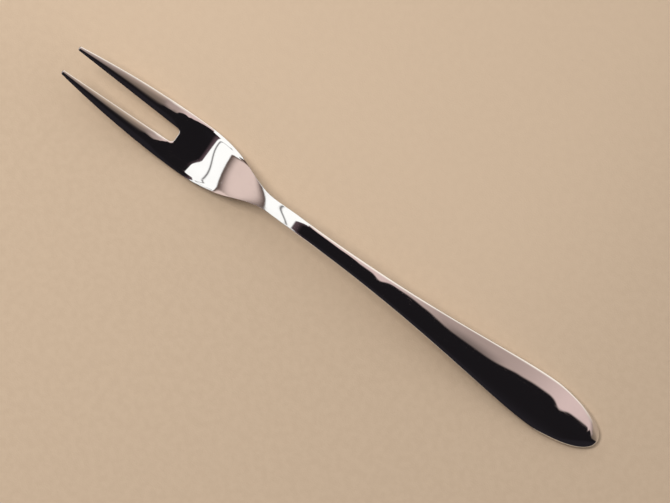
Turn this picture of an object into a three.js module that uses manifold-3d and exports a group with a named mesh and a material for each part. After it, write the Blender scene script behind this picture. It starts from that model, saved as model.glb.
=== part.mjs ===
// Two-tined meat fork of mirror-polished steel, lying on its back as it does on a table.
// Millimetres, +Z up. The tines point to -X and the handle to +X. The origin is on the table,
// under the middle of the fork. Places along the fork are distances from the tine tips.

import * as THREE from 'three';
import { mergeVertices } from 'three/addons/utils/BufferGeometryUtils.js';
import Module from 'manifold-3d';

const { clamp, lerp, smoothstep } = THREE.MathUtils;

// Lengths along the fork, which add up to its overall length
const SLOT_LENGTH = 39.1; // tine tips to the bottom of the slot
const ROOT_LENGTH = 5.5; // slot bottom to where the head begins to narrow
const SHOULDER_LENGTH = 32.2; // head narrowing into the neck
const NECK_LENGTH = 12; // end of the shoulder to the start of the handle
const FLARE_LENGTH = 90.5; // start of the handle to its widest part
const END_LENGTH = 20.7; // widest part of the handle to its end

// Widths across the fork
const TIP_WIDTH = 1.25;
const TIP_SPACING = 8.85; // between the middles of the two tips
const SLOT_WIDTH = 4.9; // at the bottom of the slot
const SLOT_CORNER = 1.4; // radius of the two corners at the bottom of the slot
const HEAD_WIDTH = 17.5;
const SHOULDER_WIDTH = 4.5; // where the shoulder runs out into the neck, the narrowest place
const NECK_WIDTH = 4.95; // where the neck runs into the handle
const HANDLE_WIDTH = 16.2;

// How far each curve of the outline keeps its first direction, as a length along the fork
const TINE_CURVE = 21; // back from the widest part of the head
const SHOULDER_CURVE = 18.8; // on from the head
const SHOULDER_RUN_OUT = 11.8; // back from the neck
const FLARE_CURVE = 44.4; // on from the start of the handle
const FLARE_RUN_OUT = 15.9; // back from the widest part of the handle

// Thicknesses, through the middle of each section
const TIP_THICKNESS = 1.2;
const ROOT_THICKNESS = 2.3;
const NECK_THICKNESS = 3.4;
const HANDLE_THICKNESS = 2.6;

// Heights of the underside above the table, and the places where it turns
const TIP_LIFT = 13;
const NECK_LIFT = 10.4;
const BELLY_SETBACK = 6.2; // slot bottom to the lowest place of the head
const BEND_LENGTH = 8.1; // the bend from the head into the straight tines
const ARCH_LENGTH = 55; // lowest place of the head to the top of the arch
const ARCH_SKEW = 0.8; // how late the bar climbs, 0 for an even arch
const REST_SETBACK = 8.2; // handle end to the lowest place of the handle
const LAND_DEPTH = 0.15; // how much of each lowest place is dressed flat

// How far the middle of a section stands above its edges, on each face
const TIP_CROWN = 0.15;
const HEAD_CROWN = 0.33;
const NECK_CROWN = 0.075;
const HANDLE_CROWN = 0.41;
const CROWN_GROWTH = 1.3; // power of the flare that the handle's crown grows with

// Dish of the head: how far its sides stand above its middle, and where that begins
const HEAD_DISH = 0.87;
const DISH_LEAD = 4.8; // ahead of the cut between tines and head
const DISH_RUN = 14.4; // over which the dish deepens

// Roundings
const TINE_EDGE = 2.2; // along the sides of the tines
const HEAD_EDGE = 1.7;
const SHOULDER_EDGE = 0.3;
const HANDLE_EDGE = 1.2;
const SLOT_EDGE = 0.3; // along the slot, at the root of the tines
const SLOT_EDGE_RUN = 7; // over which the tines' inner edges sharpen to that
const SHOULDER_EDGE_FROM = 13; // on from the widest part of the head
const SHOULDER_EDGE_RUN = 6;
const HANDLE_EDGE_RUN = 4; // on from the start of the handle
const EDGE_SHARE = 0.75; // largest share of the half-thickness that an edge rounds off
const TIP_RADIUS = 0.6;
const END_RADIUS = 3;
const TINE_BLEND_LENGTH = 5; // the rounded tine flattening into the head
const TINE_ROLL = 0.36; // share of the head's crown that turns the tines outwards

// Mesh density
const RING_POINTS = 32;
const CURVE_DIVISIONS = 200;
const TIP_RINGS = 4;
const END_RINGS = 12;
const RING_STEP = 2.5;
const CORNER_STEPS = 8;

// Places worked out from the lengths
const TINE_CUT = SLOT_LENGTH - SLOT_CORNER; // tines end where the slot's corners begin
const HEAD_AT = SLOT_LENGTH + ROOT_LENGTH;
const NECK_CUT = HEAD_AT + SHOULDER_LENGTH;
const HANDLE_CUT = NECK_CUT + NECK_LENGTH;
const WIDEST_AT = HANDLE_CUT + FLARE_LENGTH;
const LENGTH = WIDEST_AT + END_LENGTH;
const BELLY_AT = SLOT_LENGTH + BELLY_SETBACK;
const ARCH_AT = BELLY_AT + ARCH_LENGTH;
const REST_AT = LENGTH - REST_SETBACK;

const steel = new THREE.MeshStandardMaterial({ color: 0xd2cfca, roughness: 0.06, metalness: 1 });

// Outline of one side seen from above: distance from the tips against half-width
const outline = new THREE.Path();
outline.moveTo(0, (TIP_SPACING + TIP_WIDTH) / 2);
outline.quadraticCurveTo(HEAD_AT - TINE_CURVE, HEAD_WIDTH / 2, HEAD_AT, HEAD_WIDTH / 2);
outline.bezierCurveTo(
  HEAD_AT + SHOULDER_CURVE, HEAD_WIDTH / 2,
  NECK_CUT - SHOULDER_RUN_OUT, SHOULDER_WIDTH / 2,
  NECK_CUT, SHOULDER_WIDTH / 2,
);
outline.lineTo(HANDLE_CUT, NECK_WIDTH / 2);
outline.bezierCurveTo(
  HANDLE_CUT + FLARE_CURVE, NECK_WIDTH / 2,
  WIDEST_AT - FLARE_RUN_OUT, HANDLE_WIDTH / 2,
  WIDEST_AT, HANDLE_WIDTH / 2,
);
outline.absellipse(WIDEST_AT, 0, END_LENGTH, HANDLE_WIDTH / 2, Math.PI / 2, 0, true);
const outlinePoints = outline.getPoints(CURVE_DIVISIONS);

// Half-width of the outline at one place along the fork
function halfWidth(place) {
  const next = outlinePoints.findIndex((point) => point.x >= place);
  if (next <= 0) {
    return outlinePoints[0].y;
  }
  const before = outlinePoints[next - 1];
  const after = outlinePoints[next];
  return lerp(before.y, after.y, (place - before.x) / (after.x - before.x));
}

// Half-width of the slot at one place along the tines
function halfSlot(place) {
  return lerp(TIP_SPACING - TIP_WIDTH, SLOT_WIDTH, place / TINE_CUT) / 2;
}

// Share of the full thickness that is left where the tips and the handle's end are rounded over
function endRounding(place) {
  const fromTip = clamp(place / TIP_RADIUS, 0, 1);
  const fromEnd = clamp((LENGTH - place) / END_RADIUS, 0, 1);
  return Math.sqrt(1 - (1 - fromTip) ** 2) * Math.sqrt(1 - (1 - fromEnd) ** 2);
}

// Share of the way from the head's lowest place up to the top of the arch. It starts with a
// tight bend and levels out slowly.
function climb(place) {
  const part = clamp((place - BELLY_AT) / ARCH_LENGTH, 0, 1);
  const rest = 1 - part;
  return 1 - rest ** 3 * (1 + 3 * part) - ARCH_SKEW * (part * rest) ** 2;
}

// Share of the way from the top of the arch down to the handle's lowest place
function descent(place) {
  return smoothstep(place, ARCH_AT, REST_AT);
}

// Value along the fork that goes from tip to head to neck with the rise of the bar
function upToNeck(place, tip, head, neck) {
  return place < BELLY_AT ? lerp(tip, head, place / BELLY_AT) : lerp(head, neck, climb(place));
}

function thickness(place) {
  const before = upToNeck(place, TIP_THICKNESS, ROOT_THICKNESS, NECK_THICKNESS);
  return lerp(before, HANDLE_THICKNESS, descent(place));
}

// Share of the way from the handle's first width to its full width
function flare(place) {
  const grown = (2 * halfWidth(place) - NECK_WIDTH) / (HANDLE_WIDTH - NECK_WIDTH);
  return place > HANDLE_CUT ? clamp(grown, 0, 1) : 0;
}

function crownHeight(place) {
  const before = upToNeck(place, TIP_CROWN, HEAD_CROWN, NECK_CROWN);
  return lerp(before, HANDLE_CROWN, flare(place) ** CROWN_GROWTH);
}

// How far the sides of the steel are turned up above its middle
function dish(place) {
  const start = TINE_CUT - DISH_LEAD;
  const begun = smoothstep(place, start, start + DISH_RUN);
  return HEAD_DISH * begun * (1 - smoothstep(place, HEAD_AT, NECK_CUT));
}

// Width of the rounding along the sides
function edgeRadius(place) {
  const shoulderFrom = HEAD_AT + SHOULDER_EDGE_FROM;
  const toHead = lerp(TINE_EDGE, HEAD_EDGE, clamp(place / BELLY_AT, 0, 1));
  const narrowing = smoothstep(place, shoulderFrom, shoulderFrom + SHOULDER_EDGE_RUN);
  const flaring = smoothstep(place, NECK_CUT, HANDLE_CUT + HANDLE_EDGE_RUN);
  return lerp(lerp(toHead, SHOULDER_EDGE, narrowing), HANDLE_EDGE, flaring);
}

// Height gained along a straight run that starts with a smooth bend
function bendRise(distance) {
  return Math.log(Math.cosh(distance / BEND_LENGTH));
}

// Height of the underside: tips up, belly down, arched neck, and handle down again at its end
function underside(place) {
  if (place < BELLY_AT) {
    return lerp(-LAND_DEPTH, TIP_LIFT, bendRise(BELLY_AT - place) / bendRise(BELLY_AT));
  }
  return lerp(lerp(-LAND_DEPTH, NECK_LIFT, climb(place)), -LAND_DEPTH, descent(place));
}

// Height of the surface halfway through the steel
function midHeight(place, across) {
  const outwards = across === 0 ? 0 : across / halfWidth(place);
  return underside(place) + thickness(place) / 2 + dish(place) * outwards ** 2;
}

// Half the height of the steel at a point of a section: a low crown over rounded sides
function halfHeight(place, across, section) {
  const { inner, outer, flatten, sharpen } = section;
  const half = (outer - inner) / 2;
  const ownShare = (across - inner) / half - 1;
  const rise = 1 - lerp(ownShare ** 2, (across / outer) ** 2, flatten);
  const outerEdge = Math.min(edgeRadius(place), half);
  const innerEdge = lerp(outerEdge, SLOT_EDGE, sharpen);
  const inFromEdge = Math.min((across - inner) / innerEdge, (outer - across) / outerEdge);
  const rounded = 1 - Math.sqrt(1 - (1 - clamp(inFromEdge, 0, 1)) ** 2);
  const crown = crownHeight(place);
  const body = thickness(place) / 2 - crown;
  const drop = Math.min(edgeRadius(place), body * EDGE_SHARE);
  return (crown * rise + body - drop * rounded) * endRounding(place);
}

// One point on the steel, never below the table
function forkPoint(place, across, above) {
  const height = Math.max(midHeight(place, across) + above, 0);
  return new THREE.Vector3(place - LENGTH / 2, across, height);
}

// Ring of points round a section between an inner and an outer edge. Its flatten is 0 for a crown
// of its own and 1 where it shares the crown of the head, and its sharpen is 1 where its inner
// edge is as sharp as the slot's.
function sectionRing(place, section) {
  return Array.from({ length: RING_POINTS }, (_, i) => {
    const angle = (2 * Math.PI * i) / RING_POINTS;
    const across = lerp(section.inner, section.outer, (1 + Math.cos(angle)) / 2);
    const atEdge = i % (RING_POINTS / 2) === 0;
    const face = atEdge ? 0 : Math.sign(Math.sin(angle));
    return forkPoint(place, across, face * halfHeight(place, across, section));
  });
}

// Closed skin over a row of rings, with a point at each end
function loft(rings, nose, tail) {
  const points = [nose, ...rings.flat(), tail];
  const last = points.length - 1;
  const vertex = (ring, i) => 1 + ring * RING_POINTS + (i % RING_POINTS);
  const faces = [];
  for (let i = 0; i < RING_POINTS; i += 1) {
    faces.push(0, vertex(0, i + 1), vertex(0, i));
    for (let ring = 0; ring < rings.length - 1; ring += 1) {
      faces.push(vertex(ring, i), vertex(ring + 1, i + 1), vertex(ring + 1, i));
      faces.push(vertex(ring, i), vertex(ring, i + 1), vertex(ring + 1, i + 1));
    }
    faces.push(last, vertex(rings.length - 1, i), vertex(rings.length - 1, i + 1));
  }
  const geometry = new THREE.BufferGeometry().setFromPoints(points);
  geometry.setIndex(faces);
  geometry.computeVertexNormals();
  return geometry;
}

// Evenly spaced places from one to another, both included
function placesBetween(from, to) {
  const steps = Math.ceil((to - from) / RING_STEP);
  return Array.from({ length: steps + 1 }, (_, i) => lerp(from, to, i / steps));
}

// Places that crowd towards a rounded end, which is itself left out
function placesTowardsEnd(from, end, count) {
  return Array.from({ length: count }, (_, i) => {
    const turn = ((i + 1) * Math.PI) / (2 * (count + 1));
    return lerp(from, end, Math.sin(turn));
  });
}

// Middle of the steel at one place, used to close a flat cut or a rounded end
function middlePoint(place, across) {
  return forkPoint(place, across, 0);
}

// One tine, on the side of the fork that side is: 1 for +Y and -1 for -Y
function tineGeometry(side) {
  const tipPlaces = placesTowardsEnd(TIP_RADIUS, 0, TIP_RINGS).reverse();
  const places = [...tipPlaces, ...placesBetween(TIP_RADIUS, TINE_CUT)];
  const rings = places.map((place) => {
    const middle = (halfSlot(place) + halfWidth(place)) / 2;
    const half = ((halfWidth(place) - halfSlot(place)) / 2) * endRounding(place);
    const flatten = lerp(TINE_ROLL, 1, smoothstep(place, TINE_CUT - TINE_BLEND_LENGTH, TINE_CUT));
    const sharpen = smoothstep(place, TINE_CUT - SLOT_EDGE_RUN, TINE_CUT);
    const ring = sectionRing(place, { inner: middle - half, outer: middle + half, flatten, sharpen });
    ring.forEach((point) => point.setY(point.y * side));
    return side > 0 ? ring : ring.reverse();
  });
  const cutMiddle = (halfSlot(TINE_CUT) + halfWidth(TINE_CUT)) / 2;
  return loft(rings, middlePoint(0, (side * TIP_SPACING) / 2), middlePoint(TINE_CUT, side * cutMiddle));
}

// Ring over the whole width of the fork
function fullRing(place) {
  const half = halfWidth(place);
  return sectionRing(place, { inner: -half, outer: half, flatten: 0, sharpen: 0 });
}

// Length of the fork between two flat cuts
function barGeometry(from, to) {
  return loft(placesBetween(from, to).map(fullRing), middlePoint(from, 0), middlePoint(to, 0));
}

// Handle, from its cut at the neck to its rounded end
function handleGeometry() {
  const places = [
    ...placesBetween(HANDLE_CUT, WIDEST_AT),
    ...placesTowardsEnd(WIDEST_AT, LENGTH, END_RINGS),
  ];
  return loft(places.map(fullRing), middlePoint(HANDLE_CUT, 0), middlePoint(LENGTH, 0));
}

// Bottom of the slot with its two round corners, long enough to leave the head at the front
// and high enough to pass through it
function slotGeometry() {
  const front = TINE_CUT - SLOT_CORNER - LENGTH / 2;
  const cornerAt = TINE_CUT - LENGTH / 2;
  const half = SLOT_WIDTH / 2;
  const shape = new THREE.Shape();
  shape.moveTo(front, -half);
  shape.lineTo(cornerAt, -half);
  shape.absarc(cornerAt, -half + SLOT_CORNER, SLOT_CORNER, -Math.PI / 2, 0, false);
  shape.absarc(cornerAt, half - SLOT_CORNER, SLOT_CORNER, 0, Math.PI / 2, false);
  shape.lineTo(front, half);
  const geometry = new THREE.ExtrudeGeometry(shape, {
    depth: TIP_LIFT + 2 * ROOT_THICKNESS,
    bevelEnabled: false,
    curveSegments: CORNER_STEPS,
  });
  return geometry.translate(0, 0, -ROOT_THICKNESS);
}

const wasm = await Module();
wasm.setup();

// Solid of a closed geometry, for cutting
function solidOf(geometry) {
  const bare = new THREE.BufferGeometry();
  bare.setAttribute('position', geometry.attributes.position);
  bare.setIndex(geometry.index);
  const merged = mergeVertices(bare);
  return new wasm.Manifold(new wasm.Mesh({
    numProp: 3,
    vertProperties: new Float32Array(merged.attributes.position.array),
    triVerts: new Uint32Array(merged.index.array),
  }));
}

// First geometry with the second one cut away from it
function cut(body, tool) {
  const { vertProperties, triVerts } = solidOf(body).subtract(solidOf(tool)).getMesh();
  const geometry = new THREE.BufferGeometry();
  geometry.setAttribute('position', new THREE.BufferAttribute(vertProperties, 3));
  geometry.setIndex(new THREE.BufferAttribute(triVerts, 1));
  geometry.computeVertexNormals();
  return geometry;
}

const fork = new THREE.Group();

function addPiece(name, geometry) {
  const mesh = new THREE.Mesh(geometry, steel.clone());
  mesh.name = name;
  fork.add(mesh);
}

addPiece('right_tine', tineGeometry(1));
addPiece('left_tine', tineGeometry(-1));
addPiece('head', cut(barGeometry(TINE_CUT, NECK_CUT), slotGeometry()));
addPiece('neck', barGeometry(NECK_CUT, HANDLE_CUT));
addPiece('handle', handleGeometry());

export default fork;
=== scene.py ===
"""Two-tined meat fork of mirror-polished steel, lying on its back on a sheet of paper.

Metres, +Z up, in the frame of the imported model: the tines point to -X and the handle to +X.
A place along the fork is its distance from the tine tips.
"""

import logging
import math
from abc import ABC, abstractmethod
from collections.abc import Callable, Mapping, Sequence
from dataclasses import dataclass, field
from enum import Enum
from typing import Any, ClassVar

import bpy
import numpy as np
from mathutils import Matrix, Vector


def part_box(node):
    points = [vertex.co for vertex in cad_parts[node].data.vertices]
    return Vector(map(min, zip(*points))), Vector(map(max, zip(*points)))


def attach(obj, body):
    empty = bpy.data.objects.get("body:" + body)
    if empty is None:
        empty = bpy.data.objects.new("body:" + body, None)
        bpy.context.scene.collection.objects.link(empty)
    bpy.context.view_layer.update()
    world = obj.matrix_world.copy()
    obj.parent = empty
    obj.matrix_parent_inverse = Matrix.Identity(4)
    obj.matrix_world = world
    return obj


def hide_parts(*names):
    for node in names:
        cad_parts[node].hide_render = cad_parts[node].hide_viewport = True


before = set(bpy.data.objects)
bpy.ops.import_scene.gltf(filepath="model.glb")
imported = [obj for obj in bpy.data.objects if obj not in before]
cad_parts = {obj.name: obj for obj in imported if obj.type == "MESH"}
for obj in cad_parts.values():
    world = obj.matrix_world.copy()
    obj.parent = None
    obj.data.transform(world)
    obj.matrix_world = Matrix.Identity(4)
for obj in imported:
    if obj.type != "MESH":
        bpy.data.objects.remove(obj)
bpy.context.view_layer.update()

LOG = logging.getLogger("meat_fork")
BODY = "root"
RIM_ATTRIBUTE = "rim"
MM_PER_M = 1000.0

# Mesh density
RING_STEP = 0.001  # between the rings along the fork
HALF_COLUMNS = 24  # quads across a tine, or across half of the fork
TIP_ROWS = 10  # round a tip
END_ROWS = 28  # round the handle's end
CORNER_ROWS = 10  # round a corner of the slot
SLOT_ROWS = 6  # along half of the slot's bottom
RIM_ROWS = 6  # over the rounded edge of the slot's bottom
CURVE_POINTS = 3000  # on each curve of the outline

# Small distances that the mesh code works with
WELD_DIGITS = 8  # decimals to which welded points agree
HAIR = 1e-7  # how far inside an edge its slopes are taken
ON_EDGE = 1e-9  # nearer than this is on the edge
PROBE = 2e-8  # step for the slopes of a face, and the least width to divide by
LEAN_PROBE = 1e-5  # step for the slope of the outline

# Sockets of a Mix node that mixes colours
MIX_FACTOR, MIX_LOW, MIX_HIGH, MIX_RESULT = 0, 6, 7, 2

Array = np.ndarray
Colour = tuple[float, float, float]
Point = tuple[float, float, float]
PlanFunction = Callable[[Array, Array], Array]

# Directions that the flat cuts face
TO_TIPS: Point = (-1.0, 0.0, 0.0)
TO_HANDLE: Point = (1.0, 0.0, 0.0)


class Side(Enum):
    """Side of the fork that a tine is on, with the sign of its Y."""

    LEFT = -1
    RIGHT = 1


class Face(Enum):
    """Upper or lower face of the steel, with the sign of its Z."""

    UPPER = 1
    LOWER = -1


def smooth(value: Array, start: float, end: float) -> Array:
    """Share of the way that a value is from start to end, from 0 to 1 and eased at both."""
    share = np.clip((value - start) / (end - start), 0.0, 1.0)
    return share * share * (3.0 - 2.0 * share)


def mix(low: Any, high: Any, share: Any) -> Any:
    """Value that lies the given share of the way from low to high."""
    return low + (high - low) * share


def quarter_round(share: Array, ease: float = 2.0) -> Array:
    """Height of a rounded edge, from 0 on it to 1 inside it, round for an ease of 2."""
    return np.sqrt(1.0 - (1.0 - np.clip(share, 0.0, 1.0)) ** ease)


def bezier(controls: Sequence[tuple[float, float]]) -> Array:
    """Dense row of points on the Bezier curve with the given control points."""
    degree = len(controls) - 1
    share = np.linspace(0.0, 1.0, CURVE_POINTS)
    weights = [
        math.comb(degree, i) * share**i * (1.0 - share) ** (degree - i) for i in range(degree + 1)
    ]
    return np.stack(weights, axis=1) @ np.array(controls)


def slopes(height: PlanFunction, place: Array, across: Array) -> tuple[Array, Array]:
    """Slopes of a height over the plan.

    Args:
        height: Function of place and across.
        place: Distances from the tine tips.
        across: Distances from the middle plane.

    Returns:
        The slope along the fork and the slope across it.
    """
    along = (height(place + PROBE, across) - height(place - PROBE, across)) / (2.0 * PROBE)
    sideways = (height(place, across + PROBE) - height(place, across - PROBE)) / (2.0 * PROBE)
    return along, sideways


def edge_spread(count: int) -> Array:
    """Shares from 0 to 1 that crowd towards both ends."""
    return (1.0 - np.cos(np.linspace(0.0, math.pi, count + 1))) / 2.0


def even_places(start: float, end: float) -> Array:
    """Places from start to end, both included, about one ring step apart."""
    return np.linspace(start, end, math.ceil((end - start) / RING_STEP) + 1)


def plan_grid(places: Array, across: Array) -> Array:
    """Plan points of a grid, from the place of each row and its columns' distances across."""
    return np.stack([np.broadcast_to(places[:, None], across.shape), across], axis=-1)


def add_object(name: str, data: Any) -> bpy.types.Object:
    """New object in the scene, with the given mesh, lamp or camera."""
    added = bpy.data.objects.new(name, data)
    bpy.context.scene.collection.objects.link(added)
    return added


@dataclass
class ForkForm:
    """Shape of the bar of steel: its outline from above, its profile and its sections.

    The length, the cuts between the regions and the two main widths come from the frame.
    """

    length: float
    tine_cut: float
    neck_cut: float
    handle_cut: float
    head_width: float
    handle_width: float

    # Along the fork
    slot_corner: float = 0.0014
    root_length: float = 0.0055
    end_length: float = 0.0207
    belly_setback: float = 0.0062
    bend_length: float = 0.0081
    arch_length: float = 0.055
    rest_setback: float = 0.0082
    tine_blend_length: float = 0.005
    slot_edge_run: float = 0.002
    dish_lead: float = 0.008
    dish_run: float = 0.0205
    dish_setback: float = 0.002
    arch_skew: float = 0.8  # how late the bar climbs, 0 for an even arch
    crown_growth: float = 1.3  # power of the flare that the handle's crown grows with

    # Across the fork
    tip_width: float = 0.00125
    tip_spacing: float = 0.00885
    slot_width: float = 0.0048
    shoulder_width: float = 0.0045
    neck_width: float = 0.00495

    # How far each curve of the outline keeps its first direction
    tine_curve: float = 0.021
    shoulder_curve: float = 0.0188
    shoulder_run_out: float = 0.0118
    flare_curve: float = 0.0444
    flare_run_out: float = 0.0159

    # Thicknesses, heights of the underside and crowns
    tip_thickness: float = 0.0012
    root_thickness: float = 0.0023
    neck_thickness: float = 0.0034
    handle_thickness: float = 0.0026
    tip_lift: float = 0.013
    neck_lift: float = 0.0104
    land_depth: float = 0.00015
    tip_crown: float = 0.00015
    head_crown: float = 0.00033
    head_dish: float = 0.00087
    neck_crown: float = 0.000075
    handle_crown: float = 0.00041
    tine_roll: float = 0.36  # share of the head's crown that turns the tines outwards

    # Roundings
    tine_edge_radius: float = 0.0022
    head_edge_radius: float = 0.0021
    shoulder_edge_radius: float = 0.00015
    handle_edge_radius: float = 0.0012
    end_edge_radius: float = 0.0045
    shoulder_edge_from: float = 0.013
    shoulder_edge_to: float = 0.019
    end_edge_run: float = 0.012
    edge_share: float = 0.75  # largest share of the half-thickness that an edge rounds off
    handle_edge_run: float = 0.004
    slot_edge_radius: float = 0.0006
    edge_ease: float = 3.0  # power of the rounding's curve
    edge_bluff: float = 0.00026  # how far inside its rounding an edge ends in a wall
    tip_radius: float = 0.0006
    end_radius: float = 0.0055

    # Worked out from the sizes above
    slot_bottom: float = field(init=False)
    head_at: float = field(init=False)
    widest_at: float = field(init=False)
    belly_at: float = field(init=False)
    arch_at: float = field(init=False)
    rest_at: float = field(init=False)
    outline: Array = field(init=False, repr=False)

    def __post_init__(self) -> None:
        """Works out the places along the fork and the outline of one side."""
        self.slot_bottom = self.tine_cut + self.slot_corner
        self.head_at = self.slot_bottom + self.root_length
        self.widest_at = self.length - self.end_length
        self.belly_at = self.slot_bottom + self.belly_setback
        self.arch_at = self.belly_at + self.arch_length
        self.rest_at = self.length - self.rest_setback
        self.outline = np.concatenate(self.outline_curves())

    @classmethod
    def from_frame(cls) -> "ForkForm":
        """Form whose length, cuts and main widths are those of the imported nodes."""
        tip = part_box("left_tine")[0].x
        head_low, head_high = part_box("head")
        neck_low, neck_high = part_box("neck")
        handle_low, handle_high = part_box("handle")
        return cls(
            length=handle_high.x - tip,
            tine_cut=head_low.x - tip,
            neck_cut=neck_low.x - tip,
            handle_cut=neck_high.x - tip,
            head_width=head_high.y - head_low.y,
            handle_width=handle_high.y - handle_low.y,
        )

    def outline_curves(self) -> list[Array]:
        """Curves of the outline on one side, as points of place and half-width."""
        tip = (self.tip_spacing + self.tip_width) / 2.0
        head = self.head_width / 2.0
        shoulder = self.shoulder_width / 2.0
        neck = self.neck_width / 2.0
        handle = self.handle_width / 2.0
        tine = [(0.0, tip), (self.head_at - self.tine_curve, head), (self.head_at, head)]
        shoulders = [
            (self.head_at, head),
            (self.head_at + self.shoulder_curve, head),
            (self.neck_cut - self.shoulder_run_out, shoulder),
            (self.neck_cut, shoulder),
        ]
        flare = [
            (self.handle_cut, neck),
            (self.handle_cut + self.flare_curve, neck),
            (self.widest_at - self.flare_run_out, handle),
            (self.widest_at, handle),
        ]
        turn = np.linspace(0.0, math.pi / 2.0, CURVE_POINTS)
        end_places = self.widest_at + self.end_length * np.sin(turn)
        end = np.stack([end_places, handle * np.cos(turn)], axis=1)
        return [bezier(tine), bezier(shoulders), bezier(flare), end]

    def half_width(self, place: Array) -> Array:
        """Half-width of the outline at each place."""
        return np.interp(place, self.outline[:, 0], self.outline[:, 1])

    def outline_lean(self, place: Array) -> Array:
        """How much longer a distance is across the fork than square to the outline."""
        gain = self.half_width(place + LEAN_PROBE) - self.half_width(place - LEAN_PROBE)
        return np.hypot(1.0, gain / (2.0 * LEAN_PROBE))

    def half_slot(self, place: Array) -> Array:
        """Half-width of the slot at each place along the tines."""
        return mix(self.tip_spacing - self.tip_width, self.slot_width, place / self.tine_cut) / 2.0

    def end_rounding(self, place: Array) -> Array:
        """Share of the thickness that is left where the tips and the handle's end round over."""
        at_tips = quarter_round(place / self.tip_radius)
        return at_tips * quarter_round((self.length - place) / self.end_radius)

    def tine_edges(self, place: Array) -> tuple[Array, Array]:
        """Edges of a tine beside the slot and on the outside, both drawn in at its tip."""
        middle = (self.half_slot(place) + self.half_width(place)) / 2.0
        half = (self.half_width(place) - self.half_slot(place)) / 2.0
        half = half * quarter_round(place / self.tip_radius)
        return middle - half, middle + half

    def climb(self, place: Array) -> Array:
        """Share of the way from the belly up to the arch's top: a tight bend, then a slow one."""
        share = np.clip((place - self.belly_at) / self.arch_length, 0.0, 1.0)
        rest = 1.0 - share
        return 1.0 - rest**3 * (1.0 + 3.0 * share) - self.arch_skew * (share * rest) ** 2

    def descent(self, place: Array) -> Array:
        """Share of the way from the top of the arch down to the handle's lowest place."""
        return smooth(place, self.arch_at, self.rest_at)

    def flare(self, place: Array) -> Array:
        """Share of the way from the neck's width to the handle's."""
        spare = 2.0 * self.half_width(place) - self.neck_width
        share = spare / (self.handle_width - self.neck_width)
        return np.where(place > self.handle_cut, np.clip(share, 0.0, 1.0), 0.0)

    def along(self, place: Array, sizes: Sequence[float], middle: Array, last: Array) -> Array:
        """Size that goes from one value to the next along the fork.

        Args:
            place: Distances from the tine tips.
            sizes: Its values at the tips, the belly, the top of the arch and the handle.
            middle: Share of the way from the second value to the third.
            last: Share of the way from the third value to the fourth.

        Returns:
            The size at each place.
        """
        tip, head, neck, handle = sizes
        tines = mix(tip, head, place / self.belly_at)
        bar = mix(mix(head, neck, middle), handle, last)
        return np.where(place < self.belly_at, tines, bar)

    def thickness(self, place: Array) -> Array:
        """Thickness through the middle of each section."""
        bar = (self.root_thickness, self.neck_thickness, self.handle_thickness)
        sizes = (self.tip_thickness, *bar)
        return self.along(place, sizes, self.climb(place), self.descent(place))

    def crown(self, place: Array) -> Array:
        """How far the middle of each section stands above its edges, on each face."""
        sizes = (self.tip_crown, self.head_crown, self.neck_crown, self.handle_crown)
        narrowing = smooth(place, self.belly_at, self.neck_cut)
        return self.along(place, sizes, narrowing, self.flare(place) ** self.crown_growth)

    def dish(self, place: Array) -> Array:
        """How far the whole section is bent up at its edges, which hollows the head."""
        start = self.tine_cut - self.dish_lead
        begun = smooth(place, start, start + self.dish_run)
        ended = smooth(place, self.head_at, self.neck_cut - self.dish_setback)
        return self.head_dish * begun * (1.0 - ended)

    def edge_radius(self, place: Array) -> Array:
        """How far in from the outline each section is rounded."""
        past_head = place - self.head_at
        narrowing = smooth(past_head, self.shoulder_edge_from, self.shoulder_edge_to)
        flaring = smooth(place, self.neck_cut, self.handle_cut + self.handle_edge_run)
        ending = smooth(place, self.length - self.end_edge_run, self.length)
        tine_share = np.clip(place / self.belly_at, 0.0, 1.0)
        radius = mix(self.tine_edge_radius, self.head_edge_radius, tine_share)
        radius = mix(radius, self.shoulder_edge_radius, narrowing)
        radius = mix(radius, self.handle_edge_radius, flaring)
        return mix(radius, self.end_edge_radius, ending)

    def mid_height(self, place: Array, across: Array) -> Array:
        """Height halfway through the steel: tips up, belly down, arched neck and dished head."""
        bend = np.log(np.cosh((self.belly_at - place) / self.bend_length))
        full_bend = math.log(math.cosh(self.belly_at / self.bend_length))
        tines = mix(-self.land_depth, self.tip_lift, bend / full_bend)
        arch = mix(-self.land_depth, self.neck_lift, self.climb(place))
        bar = mix(arch, -self.land_depth, self.descent(place))
        middle = np.where(place < self.belly_at, tines, bar) + self.thickness(place) / 2.0
        return middle + self.dish(place) * (across / np.maximum(self.half_width(place), PROBE)) ** 2

    def edge_distances(self, place: Array, across: Array) -> tuple[Array, Array]:
        """Distances in plan to the slot and to the outline, exactly 0 on an edge."""
        side = np.abs(across)
        inner, outer = self.tine_edges(place)
        past_corner = np.maximum(place - self.tine_cut, 0.0)
        beside_corner = np.maximum(side - (self.slot_width / 2.0 - self.slot_corner), 0.0)
        to_slot_end = np.hypot(past_corner, beside_corner) - self.slot_corner
        on_tine = place < self.tine_cut
        to_slot = np.where(on_tine, side - inner, to_slot_end)
        outline = np.where(on_tine, outer, self.half_width(place))
        to_outline = (outline - side) / self.outline_lean(place)
        return tuple(np.where(np.abs(gap) < ON_EDGE, 0.0, gap) for gap in (to_slot, to_outline))

    def edge_distance(self, place: Array, across: Array) -> Array:
        """Distance in plan to the nearest edge, which is the outline or the slot."""
        return np.minimum(*self.edge_distances(place, across))

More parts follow.
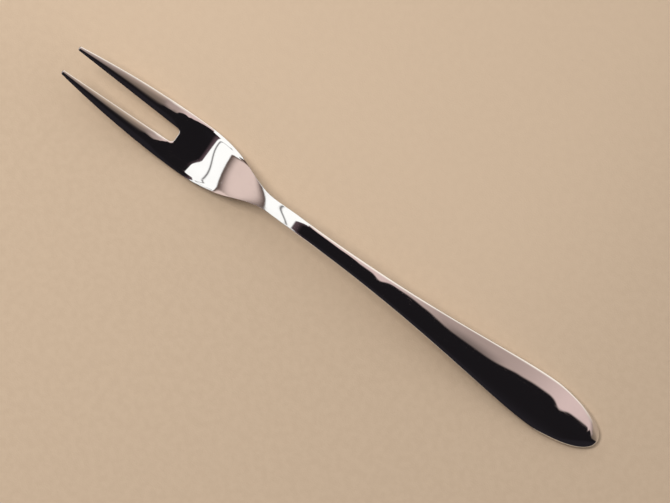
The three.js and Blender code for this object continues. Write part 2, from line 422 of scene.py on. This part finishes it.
    def rounding(self, place: Array, across: Array, half: Array) -> Array:
        """Share of the height that the rounded edges leave.

        Args:
            place: Distances from the tine tips.
            across: Distances from the middle plane.
            half: Half the width of the steel there, the most that a rounding can take.

        Returns:
            The share, least on an edge and 1 inside its rounding.
        """
        to_slot, to_outline = self.edge_distances(place, across)
        outer_radius = np.minimum(self.edge_radius(place), half)
        finer = smooth(place, self.tine_cut - self.slot_edge_run, self.tine_cut)
        inner_radius = mix(outer_radius, self.slot_edge_radius, finer)
        ending = smooth(place, self.widest_at, self.length - self.end_edge_run)
        bluff = self.edge_bluff * (1.0 - ending)
        slot_share = (to_slot + bluff) / (inner_radius + bluff)
        outline_share = (to_outline + bluff) / (outer_radius + bluff)
        return quarter_round(np.minimum(slot_share, outline_share), self.edge_ease)

    def half_height(self, place: Array, across: Array) -> Array:
        """Half the height of the steel at each plan point: a low crown over rounded edges."""
        side = np.abs(across)
        inner, outer = self.tine_edges(place)
        tine_half = np.maximum((outer - inner) / 2.0, PROBE)
        own = ((side - inner) / tine_half - 1.0) ** 2
        shared = (side / np.maximum(outer, PROBE)) ** 2
        blend_from = self.tine_cut - self.tine_blend_length
        sharing = mix(self.tine_roll, 1.0, smooth(place, blend_from, self.tine_cut))
        whole_half = np.maximum(self.half_width(place), PROBE)
        on_tine = place < self.tine_cut
        rise = 1.0 - np.where(on_tine, mix(own, shared, sharing), (side / whole_half) ** 2)
        rounding = self.rounding(place, across, np.where(on_tine, tine_half, whole_half))
        crown = self.crown(place)
        body = self.thickness(place) / 2.0 - crown
        drop = np.minimum(self.edge_radius(place), body * self.edge_share)
        return (crown * rise + body - drop * (1.0 - rounding)) * self.end_rounding(place)

    def heights(self, place: Array, across: Array, face: Face) -> Array:
        """Heights of one face of the steel, flat where it rests on the table."""
        middle = self.mid_height(place, across)
        return np.maximum(middle + face.value * self.half_height(place, across), 0.0)

    def points(self, plan: Array, face: Face) -> Array:
        """Points of one face of the steel over the given plan points."""
        place, across = plan[..., 0], plan[..., 1]
        heights = self.heights(place, across, face)
        return np.stack([place - self.length / 2.0, across, heights], axis=-1)

    def pulled_in(self, plan: Array) -> tuple[Array, Array]:
        """Plan points moved a hair inside the edges, where the steel has a definite slope."""
        place = np.clip(plan[..., 0], HAIR, self.length - HAIR)
        across = plan[..., 1]
        short = np.maximum(HAIR - self.edge_distance(place, across), 0.0)
        along, sideways = slopes(self.edge_distance, place, across)
        scale = short / np.maximum(along**2 + sideways**2, PROBE)
        return place + along * scale, across + sideways * scale

    def normals(self, plan: Array, face: Face) -> Array:
        """Outward directions of one face of the steel.

        Args:
            plan: Plan points, as place and across.
            face: Which face they are on.

        Returns:
            One direction of length 1 for each plan point.
        """
        place, across = self.pulled_in(plan)
        along, sideways = slopes(lambda *at: self.heights(*at, face), place, across)
        outward = face.value * np.stack([-along, -sideways, np.ones_like(along)], axis=-1)
        return outward / np.linalg.norm(outward, axis=-1, keepdims=True)


class Skin:
    """Closed skin of one piece, welded from patches of the fork's two faces."""

    def __init__(self, form: ForkForm) -> None:
        """Starts an empty skin of the given form."""
        self.form = form
        self.points: list[Point] = []
        self.faces: list[list[int]] = []
        self.normals: list[Point] = []
        self.known: dict[Point, int] = {}

    def weld(self, point: Array) -> int:
        """Number of the vertex at a point, which is made if there is none."""
        key = tuple(round(float(value), WELD_DIGITS) for value in point)
        if key not in self.known:
            self.known[key] = len(self.points)
            self.points.append(tuple(map(float, point)))
        return self.known[key]

    def add_face(self, corners: Sequence[tuple[Array, Array]]) -> None:
        """Adds a face, without the corners that fall on one another.

        Args:
            corners: Point and outward direction of each corner, anticlockwise seen from outside.
        """
        kept: dict[int, Point] = {}
        for point, normal in corners:
            kept.setdefault(self.weld(point), tuple(map(float, normal)))
        if len(kept) > 2:
            self.faces.append(list(kept))
            self.normals.extend(kept.values())

    def patch(self, plan: Array) -> None:
        """Adds both faces of the steel over a grid in plan.

        Args:
            plan: Plan points, in rows along the fork and columns towards +Y.
        """
        rows, columns = plan.shape[:2]
        for face in Face:
            points = self.form.points(plan, face)
            normals = self.form.normals(plan, face)
            for row in range(rows - 1):
                for column in range(columns - 1):
                    near = [(row, column), (row + 1, column)]
                    ring = [*near, (row + 1, column + 1), (row, column + 1)]
                    self.add_face([(points[at], normals[at]) for at in ring[:: face.value]])

    def strip(self, path: Array, normal: Point | None = None) -> None:
        """Adds a standing strip between the two faces, on the right of a path in plan.

        Args:
            path: Plan points in order.
            normal: Direction that a flat cut faces, or nothing for a wall that follows the path.
        """
        upper = self.form.points(path, Face.UPPER)
        lower = self.form.points(path, Face.LOWER)
        if normal is None:
            heading = np.gradient(path, axis=0)
            outward = np.stack([heading[:, 1], -heading[:, 0], np.zeros(len(path))], axis=-1)
            outward /= np.linalg.norm(outward, axis=-1, keepdims=True)
        else:
            outward = np.broadcast_to(np.array(normal), upper.shape)
        for i in range(len(path) - 1):
            ring = [(lower, i), (lower, i + 1), (upper, i + 1), (upper, i)]
            self.add_face([(points[at], outward[at]) for points, at in ring])

    def sleeve(self, plan: Array) -> None:
        """Adds both faces over a grid in plan, its walls, and a cut at each end with a width."""
        self.patch(plan)
        self.strip(plan[:, 0])
        self.strip(plan[::-1, -1])
        self.strip(plan[0, ::-1], normal=TO_TIPS)
        self.strip(plan[-1], normal=TO_HANDLE)

    def build(self, name: str) -> bpy.types.Object:
        """Makes the Blender object, with the form's own outward directions for its shading.

        Args:
            name: Name of the piece.

        Returns:
            The new object, in the scene.
        """
        mesh = bpy.data.meshes.new(name)
        mesh.from_pydata(self.points, [], self.faces)
        mesh.shade_smooth()
        mesh.normals_split_custom_set(self.normals)
        points = np.array(self.points)
        distance = self.form.edge_distance(points[:, 0] + self.form.length / 2.0, points[:, 1])
        nearness = 1.0 - np.clip(distance / self.form.handle_edge_radius, 0.0, 1.0)
        rim = mesh.attributes.new(RIM_ATTRIBUTE, "FLOAT", "POINT")
        rim.data.foreach_set("value", nearness.astype(np.float32))
        return add_object(name, mesh)


@dataclass
class Piece(ABC):
    """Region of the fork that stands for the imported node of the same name."""

    form: ForkForm

    @property
    @abstractmethod
    def node(self) -> str:
        """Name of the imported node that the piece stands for."""

    @abstractmethod
    def skin(self) -> Skin:
        """Closed skin of the piece."""

    def make(self, steel: bpy.types.Material) -> bpy.types.Object:
        """Builds the piece, dresses it in the steel and ties it to the frame."""
        piece = self.skin().build(f"{self.node}_polished")
        piece.data.materials.append(steel)
        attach(piece, BODY)
        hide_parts(self.node)
        return piece


@dataclass
class Tine(Piece):
    """One tine, from its rounded tip to the plane where the slot's corners begin."""

    side: Side

    @property
    def node(self) -> str:
        """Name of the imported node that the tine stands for."""
        return f"{self.side.name.lower()}_tine"

    def plan(self) -> Array:
        """Plan points of the tine, in rows from its tip and columns towards +Y."""
        turn = np.linspace(0.0, math.pi / 2.0, TIP_ROWS + 1)
        tip_places = self.form.tip_radius * (1.0 - np.cos(turn))
        straight_places = even_places(self.form.tip_radius, self.form.tine_cut)[1:]
        places = np.concatenate([tip_places, straight_places])
        inner, outer = self.form.tine_edges(places)
        across = mix(inner[:, None], outer[:, None], edge_spread(HALF_COLUMNS)[None, :])
        sign = self.side.value
        return plan_grid(places, sign * across[:, ::sign])

    def skin(self) -> Skin:
        """Closed skin of the tine."""
        skin = Skin(self.form)
        skin.sleeve(self.plan())
        return skin


@dataclass
class Head(Piece):
    """Root of the tines round the bottom of the slot, and the shoulder down to the neck."""

    node: ClassVar[str] = "head"
    fan_length: float = 0.0042

    def inner_path(self) -> Array:
        """Plan points round one corner of the slot, along its bottom and down the middle."""
        form = self.form
        corner_side = form.slot_width / 2.0 - form.slot_corner
        turn = np.linspace(math.pi / 2.0, 0.0, CORNER_ROWS + 1)
        corner_places = form.tine_cut + form.slot_corner * np.cos(turn)
        corner = np.stack([corner_places, corner_side + form.slot_corner * np.sin(turn)], axis=1)
        bottom_side = np.linspace(corner_side, 0.0, SLOT_ROWS + 1)[1:]
        bottom = np.stack([np.full(SLOT_ROWS, form.slot_bottom), bottom_side], axis=1)
        rim = np.linspace(0.0, form.slot_edge_radius, RIM_ROWS + 1)[1:]
        rim_places = form.slot_bottom + rim
        middle_places = np.concatenate([rim_places, even_places(rim_places[-1], form.neck_cut)[1:]])
        middle = np.stack([middle_places, np.zeros_like(middle_places)], axis=1)
        return np.concatenate([corner, bottom, middle])

    def right_plan(self) -> Array:
        """Plan points of the half on the +Y side, fanned out from the slot and the middle."""
        form = self.form
        inner = self.inner_path()
        fan_rows = CORNER_ROWS + SLOT_ROWS
        fan = np.linspace(form.tine_cut, form.slot_bottom + self.fan_length, fan_rows + 1)
        rest = np.linspace(fan[-1], form.neck_cut, len(inner) - fan_rows)[1:]
        outer_places = np.concatenate([fan, rest])
        outer = np.stack([outer_places, form.half_width(outer_places)], axis=1)
        return mix(inner[:, None, :], outer[:, None, :], edge_spread(HALF_COLUMNS)[None, :, None])

    def skin(self) -> Skin:
        """Closed skin of the head: two halves, the flat cuts and the walls."""
        skin = Skin(self.form)
        right = self.right_plan()
        left = right[:, ::-1] * (1.0, -1.0)
        for half in (right, left):
            skin.patch(half)
            skin.strip(half[0, ::-1], normal=TO_TIPS)
            skin.strip(half[-1], normal=TO_HANDLE)
        slot_end = CORNER_ROWS + SLOT_ROWS + 1
        skin.strip(right[:slot_end, 0])
        skin.strip(left[:slot_end, -1][::-1])
        skin.strip(right[::-1, -1])
        skin.strip(left[:, 0])
        return skin


@dataclass
class Bar(Piece):
    """Stretch of the fork over its whole width, between two places."""

    @abstractmethod
    def places(self) -> Array:
        """Places of the rings."""

    def plan(self) -> Array:
        """Plan points of the bar, in rows along it and columns towards +Y."""
        half = edge_spread(HALF_COLUMNS)
        whole = np.concatenate([-half[:0:-1], half])
        places = self.places()
        across = self.form.half_width(places)[:, None] * whole[None, :]
        return plan_grid(places, across)

    def skin(self) -> Skin:
        """Closed skin of the bar."""
        skin = Skin(self.form)
        skin.sleeve(self.plan())
        return skin


@dataclass
class Neck(Bar):
    """Waist of the fork, near the top of its arch."""

    node: ClassVar[str] = "neck"

    def places(self) -> Array:
        """Places of the rings between the two cuts."""
        return even_places(self.form.neck_cut, self.form.handle_cut)


@dataclass
class Handle(Bar):
    """Teardrop handle, from the neck to its rounded end."""

    node: ClassVar[str] = "handle"

    def places(self) -> Array:
        """Places of the rings, which crowd towards the rounded end."""
        form = self.form
        turn = np.linspace(0.0, math.pi / 2.0, END_ROWS + 1)[1:]
        end = form.widest_at + form.end_length * np.sin(turn)
        return np.concatenate([even_places(form.handle_cut, form.widest_at), end])


@dataclass(frozen=True)
class Ease:
    """Smooth change from 0 at one value to its amount at another, held beyond both."""

    start: float
    end: float
    amount: float = 1.0


@dataclass(frozen=True)
class Bell:
    """Bell curve round a middle value."""

    middle: float
    width: float
    height: float = 1.0


@dataclass(frozen=True)
class Grain:
    """Noise in a finish.

    Its scale is in cells to a metre and its detail in octaves. A small factor in its stretch draws
    it out along that axis. Its contrast, if any, is the change that its values go through.
    """

    scale: float
    detail: float
    stretch: Point = (1.0, 1.0, 1.0)
    contrast: Ease | None = None


def operator(operation: str, reflected: bool = False) -> Callable[["Signal", Any], "Signal"]:
    """Method for a Python operator, with the signal as its second value if it is reflected."""

    def apply(signal: "Signal", other: Any) -> "Signal":
        """Result of the operation on a signal and another value."""
        return signal.math(operation, *((other, signal) if reflected else (signal, other)))

    return apply


class Signal:
    """Output of a shader node, which Python's operators turn into Math nodes."""

    def __init__(self, shader: "Shader", socket: bpy.types.NodeSocket) -> None:
        """Wraps one output socket of the given shader."""
        self.shader = shader
        self.socket = socket

    def math(self, operation: str, *values: Any) -> "Signal":
        """Result of a Math node on the given values."""
        settings = {"operation": operation}
        return self.shader.signal("ShaderNodeMath", settings, dict(enumerate(values)))

    __add__ = operator("ADD")
    __radd__ = operator("ADD", reflected=True)
    __sub__ = operator("SUBTRACT")
    __rsub__ = operator("SUBTRACT", reflected=True)
    __mul__ = operator("MULTIPLY")
    __rmul__ = operator("MULTIPLY", reflected=True)
    __truediv__ = operator("DIVIDE")
    __rtruediv__ = operator("DIVIDE", reflected=True)

    def ramp(self, ease: Ease) -> "Signal":
        """What an ease gives at each value."""
        settings = {"interpolation_type": "SMOOTHSTEP"}
        span = {"From Min": ease.start, "From Max": ease.end, "To Max": ease.amount}
        return self.shader.signal("ShaderNodeMapRange", settings, {"Value": self, **span})

    def bell(self, bell: Bell) -> "Signal":
        """What a bell curve gives at each value."""
        away = (self - bell.middle) / bell.width
        return self.math("EXPONENT", away * away * -1.0) * bell.height


class Shader:
    """Node tree of a material or a world, in which one method makes any node."""

    def __init__(self, owner: bpy.types.Material | bpy.types.World) -> None:
        """Starts an empty tree in the given material or world."""
        owner.use_nodes = True
        self.tree = owner.node_tree
        self.tree.nodes.clear()

    def node(
        self,
        kind: str,
        settings: Mapping[str, Any] | None = None,
        inputs: Mapping[Any, Any] | None = None,
    ) -> bpy.types.Node:
        """Makes a node.

        Args:
            kind: The node's type.
            settings: Its own settings, which are set first.
            inputs: Values or signals of its sockets, by name or number.

        Returns:
            The new node.
        """
        node = self.tree.nodes.new(kind)
        for name, value in (settings or {}).items():
            setattr(node, name, value)
        for key, value in (inputs or {}).items():
            socket = node.inputs[key]
            if isinstance(value, Signal):
                self.tree.links.new(value.socket, socket)
            elif isinstance(value, tuple) and socket.type == "RGBA":
                socket.default_value = (*value, 1.0)
            else:
                socket.default_value = value
        return node

    def signal(self, *arguments: Any, output: Any = 0) -> Signal:
        """Makes a node from the same arguments, and gives the output of that name or number."""
        return Signal(self, self.node(*arguments).outputs[output])

    def axes(self, vector: Signal) -> list[Signal]:
        """The three parts of a vector."""
        split = self.node("ShaderNodeSeparateXYZ", None, {0: vector})
        return [Signal(self, part) for part in split.outputs]

    def blend(self, share: Signal, low: Any, high: Any) -> Signal:
        """Colour that lies the given share of the way from low to high."""
        inputs = {MIX_FACTOR: share, MIX_LOW: low, MIX_HIGH: high}
        return self.signal("ShaderNodeMix", {"data_type": "RGBA"}, inputs, output=MIX_RESULT)

    def noise(self, coordinates: Signal, grain: Grain) -> Signal:
        """Noise of a grain over the given coordinates, which are in metres."""
        factors = {0: coordinates, 1: grain.stretch}
        drawn = self.signal("ShaderNodeVectorMath", {"operation": "MULTIPLY"}, factors)
        inputs = {"Vector": drawn, "Scale": grain.scale, "Detail": grain.detail}
        noise = self.signal("ShaderNodeTexNoise", None, inputs)
        return noise.ramp(grain.contrast) if grain.contrast else noise

    def bump(self, height: Signal, depth: float, below: Signal | None = None) -> Signal:
        """Shading direction over a relief of the given depth in metres, on top of another one."""
        inputs: dict[Any, Any] = {"Height": height, "Distance": depth, "Strength": 1.0}
        if below is not None:
            inputs["Normal"] = below
        return self.signal("ShaderNodeBump", None, inputs)


class Finish(ABC):
    """Look of a surface, made with one Principled shader."""

    name: str

    @abstractmethod
    def inputs(self, shader: Shader, coordinates: Signal) -> dict[str, Any]:
        """Values and signals of the Principled shader.

        Args:
            shader: Tree that the nodes go into.
            coordinates: The object's own coordinates, in metres.

        Returns:
            The inputs, by the names of their sockets.
        """

    def material(self) -> bpy.types.Material:
        """Makes the material."""
        material = bpy.data.materials.new(self.name)
        shader = Shader(material)
        coordinates = shader.signal("ShaderNodeTexCoord", output="Object")
        inputs = self.inputs(shader, coordinates)
        surface = shader.signal("ShaderNodeBsdfPrincipled", None, inputs)
        shader.node("ShaderNodeOutputMaterial", None, {"Surface": surface})
        return material


@dataclass(frozen=True)
class MirrorSteel(Finish):
    """Mirror-polished stainless steel with a faint haze, hairlines and brushed edges."""

    name: str = "polished_steel"
    bright: Colour = (0.80, 0.79, 0.775)
    hazed: Colour = (0.755, 0.745, 0.73)
    polish_roughness: float = 0.025
    haze_roughness: float = 0.02
    hairline_roughness: float = 0.05
    rim_roughness: float = 0.06
    ripple_depth: float = 3e-6
    hairline_depth: float = 1.5e-7
    haze: Grain = Grain(90.0, 4.0, contrast=Ease(0.45, 0.75))
    ripple: Grain = Grain(110.0, 1.0)
    lengthwise: Grain = Grain(2600.0, 2.0, (0.02, 1.0, 1.0), Ease(0.62, 0.74))
    slanting: Grain = Grain(1900.0, 1.0, (0.06, 0.9, 0.4), Ease(0.68, 0.78))
    brushing: Grain = Grain(5200.0, 2.0, (0.05, 1.0, 1.0), Ease(0.35, 0.7))

    def inputs(self, shader: Shader, coordinates: Signal) -> dict[str, Any]:
        """Values and signals of the steel, which is roughest in its hairlines and at its rim."""
        haze = shader.noise(coordinates, self.haze)
        ripple = shader.noise(coordinates, self.ripple)
        lengthwise = shader.noise(coordinates, self.lengthwise)
        slanting = shader.noise(coordinates, self.slanting)
        hairlines = lengthwise.math("MAXIMUM", lengthwise, slanting)
        rim = shader.signal("ShaderNodeAttribute", {"attribute_name": RIM_ATTRIBUTE}, output="Fac")
        brushed = rim * rim * shader.noise(coordinates, self.brushing)
        roughness = (
            self.polish_roughness
            + haze * self.haze_roughness
            + hairlines * self.hairline_roughness
            + brushed * self.rim_roughness
        )
        relief = shader.bump(ripple, self.ripple_depth)
        return {
            "Base Color": shader.blend(haze, self.bright, self.hazed),
            "Metallic": 1.0,
            "Roughness": roughness,
            "Normal": shader.bump(1.0 - hairlines, self.hairline_depth, relief),
        }


@dataclass(frozen=True)
class Paper(Finish):
    """Sheet of plain beige paper with a fine tooth and a few stray fibres, and painted light that
    makes it paler on one side.
    """

    name: str = "beige_paper"
    pale: Colour = (0.58, 0.44, 0.315)
    deep: Colour = (0.555, 0.418, 0.298)
    fibre: Colour = (0.48, 0.36, 0.255)
    # Paler tint of the paper where the painted light falls
    painted_light_tint: Colour = (0.665, 0.505, 0.362)
    roughness: float = 0.92
    specular: float = 0.2
    tooth_depth: float = 4e-5
    mottle: Grain = Grain(420.0, 4.0, contrast=Ease(0.3, 0.7))
    tooth: Grain = Grain(2200.0, 3.0)
    fibres: Grain = Grain(700.0, 2.0, (0.35, 1.0, 1.0), Ease(0.74, 0.8, 0.35))
    # Where the painted light lies: towards the tines' end and towards +Y
    painted_light_along: Ease = Ease(0.11, 0.03, 0.5)
    painted_light_across: Ease = Ease(-0.03, 0.04)
    half_size: float = 3.0
    clearance: float = 2e-5

    def inputs(self, shader: Shader, coordinates: Signal) -> dict[str, Any]:
        """Values and signals of the paper."""
        along, across, _ = shader.axes(coordinates)
        # Painted light: the paper is blended towards the paler tint towards -X and +Y, where the
        # light fell brighter
        painted_light_share = along.ramp(self.painted_light_along) * across.ramp(self.painted_light_across)
        tint = shader.blend(shader.noise(coordinates, self.mottle), self.pale, self.deep)
        tint = shader.blend(painted_light_share, tint, self.painted_light_tint)
        tint = shader.blend(shader.noise(coordinates, self.fibres), tint, self.fibre)
        return {
            "Base Color": tint,
            "Roughness": self.roughness,
            "Specular IOR Level": self.specular,
            "Normal": shader.bump(shader.noise(coordinates, self.tooth), self.tooth_depth),
        }

    def make(self) -> bpy.types.Object:
        """Lays the sheet under the fork as a stage."""
        reach = self.half_size
        corners = [(-reach, -reach), (reach, -reach), (reach, reach), (-reach, reach)]
        mesh = bpy.data.meshes.new("paper_sheet")
        mesh.from_pydata([(x, y, -self.clearance) for x, y in corners], [], [(0, 1, 2, 3)])
        mesh.materials.append(self.material())
        sheet = add_object("paper_sheet", mesh)
        return sheet


@dataclass(frozen=True)
class Studio:
    """Surroundings that the steel mirrors, and the soft light on it.

    A direction is given by two tilts in degrees: along, from straight up towards the handle's
    end, and sideways, from straight up towards +Y.
    """

    dark: Colour = (0.0115, 0.0098, 0.0115)
    dusk: Colour = (0.019, 0.0165, 0.0205)
    wall: Colour = (0.80, 0.606, 0.578)
    wall_dim: Colour = (0.46, 0.35, 0.315)
    wall_low: Colour = (0.53, 0.40, 0.30)
    wall_past: Colour = (0.866, 0.674, 0.614)
    cream: Colour = (1.2, 1.09, 0.99)
    panel: Colour = (1.25, 1.25, 1.24)
    panel_glow: Colour = (0.115, 0.074, 0.085)
    lap: Colour = (0.20, 0.19, 0.19)
    seam: Colour = (0.128, 0.086, 0.072)
    horizon: Colour = (0.55, 0.44, 0.34)
    horizon_dim: Colour = (0.80, 0.70, 0.58)

    # Near edge of the panel of light beyond the tines, by the sideways tilt, and its glow
    panel_near: float = -21.6
    near_swell: Ease = Ease(1.6, 6.4, 6.7)
    near_spread: Ease = Ease(-14.0, -27.0, 2.0)
    near_top: Ease = Ease(45.0, 65.0, -17.0)
    near_blur: Ease = Ease(0.4, -0.6)
    glow_reach: Ease = Ease(4.8, 0.4)
    glow_side: Ease = Ease(9.0, 2.0)

    # Lap in the panel's cloth, which winds along it, and the panel's dark end
    lap_middle: float = -27.7
    lap_swing: float = -3.3
    lap_shift: float = -1.7
    lap_period: float = 27.5
    lap_profile: Bell = Bell(0.0, 0.7)
    lap_end: Ease = Ease(9.6, 7.6)
    dark_end: Ease = Ease(-35.0, -50.0)

    # Far edge of the panel, with a dark seam and the wall past it
    panel_far: float = -36.9
    far_slope: float = -0.19
    far_turn: Ease = Ease(8.0, 14.0, 3.2)
    far_blur: Ease = Ease(-0.3, 0.3)
    seam_end: Ease = Ease(0.3, 3.7)
    past_side: Ease = Ease(18.0, 12.0)
    past_end: Ease = Ease(-50.0, -64.0)

    # Lower edge of the dark overhead, by the tilt along the fork
    edge_tilt: float = 3.6
    edge_lift: Ease = Ease(7.5, 2.5, 2.5)
    edge_rise: Ease = Ease(0.5, -5.0, 3.6)
    edge_rise_slope: float = 0.35
    edge_step: Ease = Ease(13.0, 17.0, 1.4)
    edge_notch: Bell = Bell(13.2, 1.4, -1.7)
    edge_sag: Bell = Bell(22.0, 1.5, -0.7)
    edge_drop: Ease = Ease(21.9, 25.0, -2.9)
    edge_fall: Ease = Ease(26.2, 27.6)
    fall_depth: float = 3.3
    edge_softness: float = 0.8
    fall_softness: float = 4.0
    edge_blur: Ease = Ease(-0.5, 1.0)
    dusk_side: Ease = Ease(-6.0, -15.0)

    # Wall under that edge, on the +Y side: its dim end, two shadows and a glare from the panel
    dim_along: Ease = Ease(12.0, 26.0)
    low_along: Ease = Ease(25.8, 28.6)
    shade_along: Ease = Ease(23.2, 25.2, 0.55)
    shade_reach: Ease = Ease(5.5, 0.0)
    gloom_along: Ease = Ease(24.6, 27.5, 0.64)
    gloom_reach: Ease = Ease(30.0, 0.0)
    glare_side: Ease = Ease(16.0, 46.0)
    glare_shift: Ease = Ease(20.0, 27.0, 10.0)
    glare_end: Ease = Ease(35.0, 29.0)

    # Horizon, by the height of a direction, and the change from the -Y side to the +Y side
    horizon_height: Ease = Ease(0.2, 0.04)
    side_change: Ease = Ease(-0.3, 0.3)

    # Soft light from the panel's side, and the light of the room
    key_distance: float = 0.66
    key_tilt_deg: float = 31.0
    key_shift: float = 0.01
    key_width: float = 0.26
    key_depth: float = 0.2
    key_watts: float = 2.4
    key_colour: Colour = (1.0, 0.99, 0.97)
    ambient: Colour = (1.08, 1.08, 1.08)
    ambient_dim: Colour = (0.03, 0.03, 0.03)
    backdrop: Colour = (0.70, 0.66, 0.60)

    def surroundings(self) -> bpy.types.World:
        """Makes the world that the steel mirrors, with a plain light for all other surfaces."""
        world = bpy.data.worlds.new("studio")
        shader = Shader(world)
        x, y, z = shader.axes(shader.signal("ShaderNodeTexCoord", output="Generated"))
        along = x.math("ARCTAN2", x, z) * math.degrees(1.0)
        sideways = y.math("ARCTAN2", y, z) * math.degrees(1.0)
        side = y.ramp(self.side_change)
        room = self.side_wall(shader, along, sideways)
        room = self.light_panel(shader, along, sideways, room)
        horizon = shader.blend(side, self.horizon_dim, self.horizon)
        room = shader.blend(z.ramp(self.horizon_height), room, horizon)
        ambient = shader.blend(side, self.ambient_dim, self.ambient)
        seen = shader.signal("ShaderNodeLightPath", output="Is Camera Ray")
        mirrored = shader.signal("ShaderNodeLightPath", output="Is Glossy Ray")
        colour = shader.blend(mirrored, shader.blend(seen, ambient, self.backdrop), room)
        light = shader.signal("ShaderNodeBackground", None, {"Color": colour, "Strength": 1.0})
        shader.node("ShaderNodeOutputWorld", None, {"Surface": light})
        return world

    def side_wall(self, shader: Shader, along: Signal, sideways: Signal) -> Signal:
        """Dark overhead with the pale wall beyond its lower edge.

        Args:
            shader: Tree that the nodes go into.
            along: Tilt along the fork.
            sideways: Tilt across it.

        Returns:
            The colour in each direction.
        """
        fall = along.ramp(self.edge_fall)
        edge = (
            self.edge_tilt
            + along.ramp(self.edge_lift)
            + along.ramp(self.edge_rise)
            + along.math("MAXIMUM", self.edge_rise.end - along, 0.0) * self.edge_rise_slope
            + along.ramp(self.edge_step)
            + along.bell(self.edge_notch)
            + along.bell(self.edge_sag)
            + along.ramp(self.edge_drop)
            - fall * self.fall_depth
        )
        above = sideways - edge
        softness = self.edge_softness + fall * self.fall_softness
        wall = shader.blend(along.ramp(self.dim_along), self.wall, self.wall_dim)
        wall = shader.blend(along.ramp(self.low_along), wall, self.wall_low)
        shade = along.ramp(self.shade_along) * above.ramp(self.shade_reach)
        wall = shader.blend(shade, wall, self.dark)
        gloom = along.ramp(self.gloom_along) * above.ramp(self.gloom_reach)
        wall = shader.blend(gloom, wall, self.dark)
        glare = (sideways - along.ramp(self.glare_shift)).ramp(self.glare_side)
        wall = shader.blend(glare * along.ramp(self.glare_end), wall, self.cream)
        overhead = shader.blend(sideways.ramp(self.dusk_side), self.dark, self.dusk)
        return shader.blend((above / softness).ramp(self.edge_blur), overhead, wall)

    def light_panel(
        self, shader: Shader, along: Signal, sideways: Signal, behind: Signal
    ) -> Signal:
        """White panel beyond the tines, with the lap in its cloth and the wall past it.

        Args:
            shader: Tree that the nodes go into.
            along: Tilt along the fork.
            sideways: Tilt across it.
            behind: Colour where there is no panel.

        Returns:
            The colour in each direction.
        """
        near = (
            self.panel_near
            + sideways.ramp(self.near_swell)
            + sideways.ramp(self.near_spread)
            + sideways.ramp(self.near_top)
        )
        turn = (sideways - self.lap_shift) * (2.0 * math.pi / self.lap_period)
        lap_line = self.lap_middle + turn.math("SINE", turn) * self.lap_swing
        lap = (along - lap_line).bell(self.lap_profile) * sideways.ramp(self.lap_end)
        cloth = shader.blend(lap, self.panel, self.lap)
        cloth = shader.blend(sideways.ramp(self.dark_end), cloth, self.dark)
        before = along - near
        glow = before.ramp(self.glow_reach) * sideways.ramp(self.glow_side)
        behind = shader.blend(glow, behind, self.panel_glow)
        lit = shader.blend(before.ramp(self.near_blur), behind, cloth)
        straight = sideways.math("MINIMUM", sideways, self.far_turn.start)
        past = self.panel_far + straight * self.far_slope + sideways.ramp(self.far_turn) - along
        walled = past.ramp(self.seam_end) * sideways.ramp(self.past_side)
        beyond = shader.blend(walled, self.seam, self.wall_past)
        beyond = shader.blend(along.ramp(self.past_end), beyond, self.seam)
        return shader.blend(past.ramp(self.far_blur), lit, beyond)

    def key_light(self) -> bpy.types.Object:
        """Makes the soft lamp that casts the shadow."""
        lamp = bpy.data.lights.new("key_light", "AREA")
        lamp.shape = "RECTANGLE"
        lamp.size = self.key_width
        lamp.size_y = self.key_depth
        lamp.energy = self.key_watts
        lamp.color = self.key_colour
        key = add_object("key_light", lamp)
        tilt = math.radians(self.key_tilt_deg)
        away = Vector((-math.sin(tilt), 0.0, math.cos(tilt)))
        key.location = away * self.key_distance + Vector((0.0, self.key_shift, 0.0))
        key.rotation_mode = "QUATERNION"
        key.rotation_quaternion = away.to_track_quat("Z", "Y")
        key.visible_camera = False
        key.visible_glossy = False
        return key

    def make(self) -> None:
        """Puts the surroundings and the lamp into the scene."""
        bpy.context.scene.world = self.surroundings()
        self.key_light()
        bpy.context.scene.view_settings.view_transform = "Standard"


@dataclass(frozen=True)
class OverheadCamera:
    """Camera straight above the fork, turned so that the fork lies aslant in the picture."""

    height: float = 0.7
    seen_width: float = 0.2081
    sensor_width: float = 0.036
    turn_deg: float = 36.0
    along: float = -0.00042
    across: float = 0.00011

    def make(self) -> bpy.types.Object:
        """Makes the camera and sets it as the scene's own."""
        lens = bpy.data.cameras.new("overhead_camera")
        lens.sensor_width = self.sensor_width * MM_PER_M
        lens.lens = lens.sensor_width * self.height / self.seen_width
        camera = add_object("overhead_camera", lens)
        camera.location = (self.along, self.across, self.height)
        camera.rotation_euler = (0.0, 0.0, math.radians(self.turn_deg))
        bpy.context.scene.camera = camera
        return camera


def main() -> None:
    """Builds the fork, its stage, its light and the camera."""
    logging.basicConfig(level=logging.INFO, format="%(message)s")
    OverheadCamera().make()
    Studio().make()
    Paper().make()
    form = ForkForm.from_frame()
    steel = MirrorSteel().material()
    pieces = [Tine(form, Side.LEFT), Tine(form, Side.RIGHT), Head(form), Neck(form), Handle(form)]
    for piece in pieces:
        made = piece.make(steel)
        mesh = made.data
        LOG.info("%s: %d vertices, %d faces", made.name, len(mesh.vertices), len(mesh.polygons))


if __name__ == "__main__":
    main()
